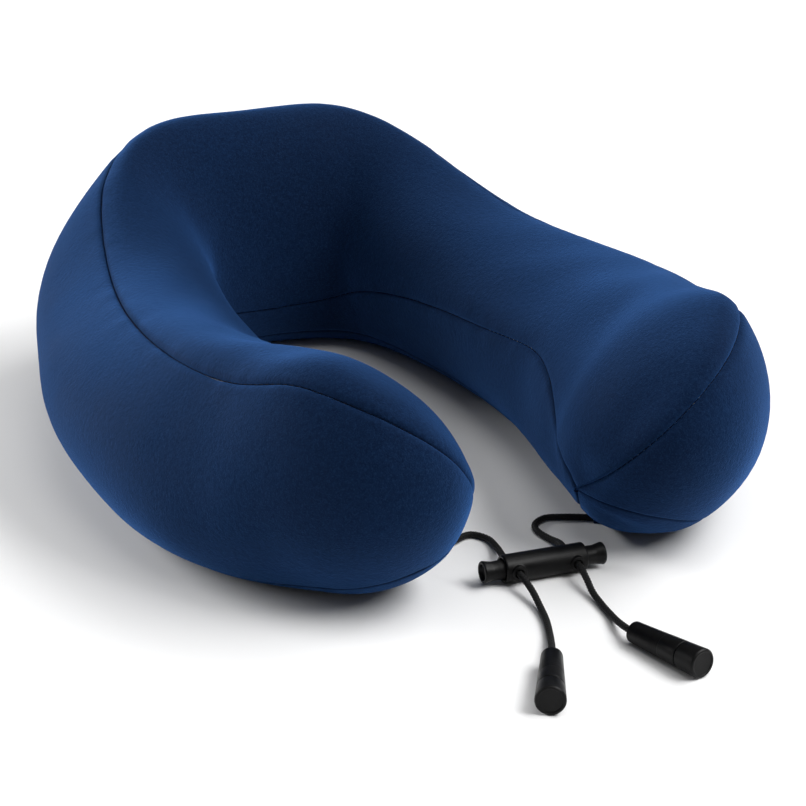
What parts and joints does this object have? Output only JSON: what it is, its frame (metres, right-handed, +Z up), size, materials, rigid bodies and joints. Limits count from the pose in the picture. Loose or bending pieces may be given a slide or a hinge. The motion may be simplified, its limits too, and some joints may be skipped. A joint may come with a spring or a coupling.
{
  "type": "u shaped neck pillow",
  "caption": "U-shaped travel neck pillow with a plush cover over a foam core, a zip, elastic cords, a push button toggle and bell-shaped cord ends.",
  "frame": {"origin": "on the floor, under the middle of the pillow's box without its cords", "axes": "+Z up, +Y towards the nape, so the mouth opens towards -Y, +X to the right arm seen from the mouth"},
  "size_m": [0.286, 0.4307, 0.1142],
  "materials": {
    "plush": "navy micro plush, short pile with a soft sheen",
    "foam": "cream moulded open-cell foam",
    "zip_textile": "navy woven tape and nylon coil",
    "cord": "black braided elastic",
    "plastic": "black satin moulded plastic",
    "steel": "nickel-plated metal"
  },
  "bodies": {
    "pillow": {"foam_core": "foam", "cover_top": "plush", "cover_side": "plush", "cover_neck": "plush", "cover_base": "plush", "zipper_tape_upper": "zip_textile", "zipper_tape_lower": "zip_textile", "zipper_coil_upper": "zip_textile", "zipper_coil_lower": "zip_textile", "zipper_stop_left": "steel", "zipper_stop_right": "steel", "cord_tab_left": "plush", "cord_tab_right": "plush", "cord_left": "cord", "cord_right": "cord"},
    "zip_slider": {"zipper_slider": "steel"},
    "zip_pull": {"zipper_pull": "steel"},
    "toggle": {"toggle_barrel": "plastic", "toggle_spring": "steel"},
    "button_left": {"toggle_button_left": "plastic"},
    "button_right": {"toggle_button_right": "plastic"},
    "cord_end_left": {"cord_end_shell_left": "plastic", "cord_end_cap_left": "plastic", "cord_knot_left": "cord"},
    "cord_end_right": {"cord_end_shell_right": "plastic", "cord_end_cap_right": "plastic", "cord_knot_right": "cord"}
  },
  "joints": [
    {"name": "zip_slide", "type": "hinge", "parent": "pillow", "child": "zip_slider", "pos_m": [0, 0.0124, 0.024], "axis": [0, 0, 1], "range_deg": [-35, 0]},
    {"name": "zip_pull_swing", "type": "hinge", "parent": "zip_slider", "child": "zip_pull", "pos_m": [-0.05054, 0.1727, 0.02234], "axis": [-0.0778, 0.2468, 0.9659], "range_deg": [0, 172]},
    {"name": "toggle_slide", "type": "slide", "parent": "pillow", "child": "toggle", "axis": [0, 1, 0], "range_m": [-0.012, 0.02], "deforming": ["cord_left", "cord_right"]},
    {"name": "button_left_press", "type": "slide", "parent": "toggle", "child": "button_left", "axis": [0.9969, -0.0785, 0], "range_m": [0, 0.003], "stiffness_N_per_m": 400, "springref_m": -0.004, "deforming": ["toggle_spring"]},
    {"name": "button_right_press", "type": "slide", "parent": "toggle", "child": "button_right", "axis": [-0.9969, 0.0785, 0], "range_m": [0, 0.003], "stiffness_N_per_m": 400, "springref_m": -0.004, "deforming": ["toggle_spring"]},
    {"name": "cord_end_left_slip", "type": "slide", "parent": "toggle", "child": "cord_end_left", "axis": [0, 1, 0], "range_m": [-0.02, 0.012]},
    {"name": "cord_end_right_slip", "type": "slide", "parent": "toggle", "child": "cord_end_right", "axis": [0, 1, 0], "range_m": [-0.02, 0.012]}
  ],
  "couplings": [
    {"joint": "cord_end_left_slip", "follows": "toggle_slide", "ratio": -1},
    {"joint": "cord_end_right_slip", "follows": "toggle_slide", "ratio": -1}
  ]
}
